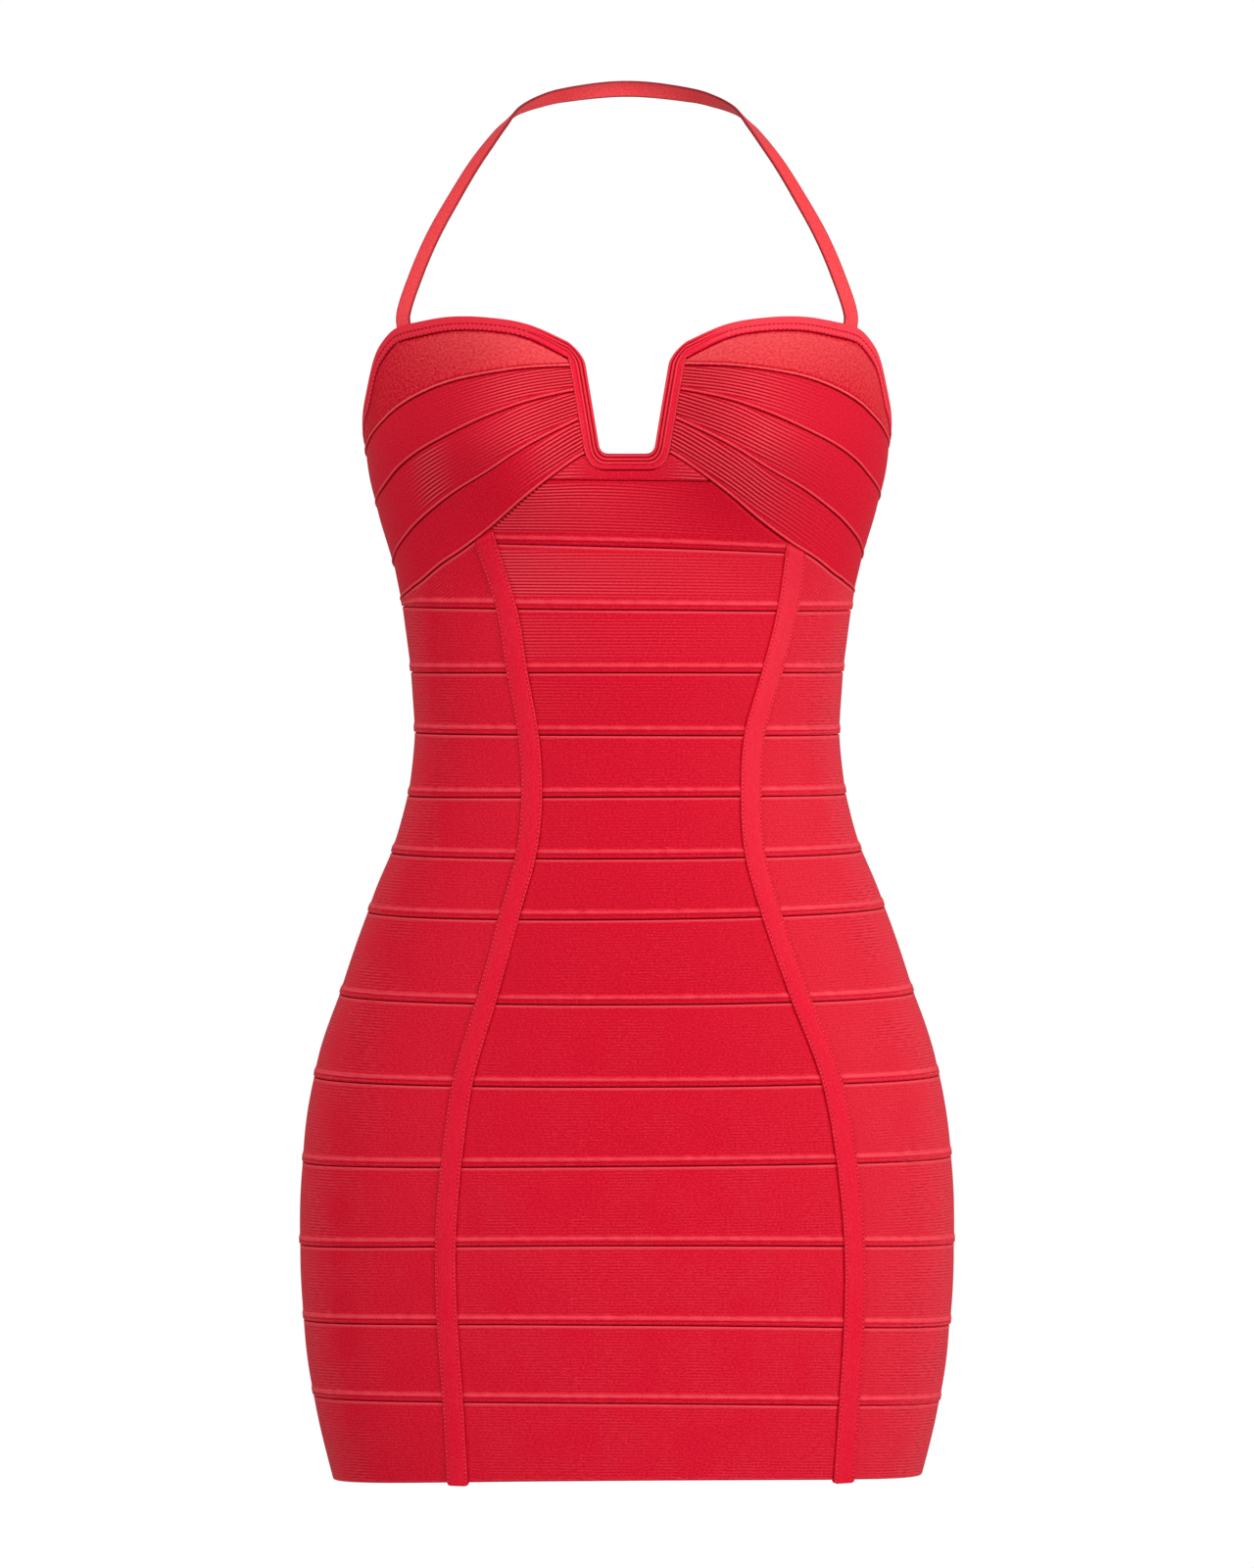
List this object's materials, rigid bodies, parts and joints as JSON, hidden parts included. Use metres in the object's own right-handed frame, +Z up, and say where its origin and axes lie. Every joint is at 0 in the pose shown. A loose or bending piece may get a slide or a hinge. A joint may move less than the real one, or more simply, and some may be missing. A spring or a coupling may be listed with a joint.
{
  "type": "halter bodycon dress",
  "caption": "Fitted halter mini dress of stacked stretch knit bands, with a squared neckline notch, banded cups and a narrow neck strap.",
  "frame": {"origin": "the nape: centre of the halter strap's inner face behind the neck", "axes": "+Z up, the front of the dress faces -Y, +X is the viewer's right"},
  "size_m": [0.3713, 0.2462, 0.791],
  "materials": {
    "knit_band": "stretch rayon bandage knit, soft satin face with fine ribs along each band",
    "knit_trim": "dense ribbed knit tape and binding, matte",
    "knit_strap": "narrow double knit strap, matte"
  },
  "bodies": {
    "root": {"back_band_lower": "knit_band", "back_band_upper": "knit_band", "back_binding": "knit_trim", "cup_band_left_01": "knit_band", "cup_band_left_02": "knit_band", "cup_band_left_03": "knit_band", "cup_band_left_04": "knit_band", "cup_band_right_01": "knit_band", "cup_band_right_02": "knit_band", "cup_band_right_03": "knit_band", "cup_band_right_04": "knit_band", "front_band_01": "knit_band", "front_band_02": "knit_band", "front_band_03": "knit_band", "front_band_04": "knit_band", "front_band_05": "knit_band", "front_band_06": "knit_band", "front_band_07": "knit_band", "front_band_08": "knit_band", "front_band_09": "knit_band", "front_band_10": "knit_band", "front_band_11": "knit_band", "front_band_12": "knit_band", "front_band_13": "knit_band", "front_band_14": "knit_band", "halter_strap": "knit_strap", "notch_band": "knit_band", "notch_binding": "knit_trim", "side_piece_left": "knit_band", "side_piece_right": "knit_band", "tape_left": "knit_trim", "tape_right": "knit_trim", "top_binding_left": "knit_trim", "top_binding_right": "knit_trim", "wrap_band_01": "knit_band", "wrap_band_02": "knit_band", "wrap_band_03": "knit_band", "wrap_band_04": "knit_band", "wrap_band_05": "knit_band", "wrap_band_06": "knit_band", "wrap_band_07": "knit_band", "wrap_band_08": "knit_band", "wrap_band_09": "knit_band", "wrap_band_10": "knit_band", "wrap_band_11": "knit_band", "wrap_band_12": "knit_band"}
  },
  "joints": []
}
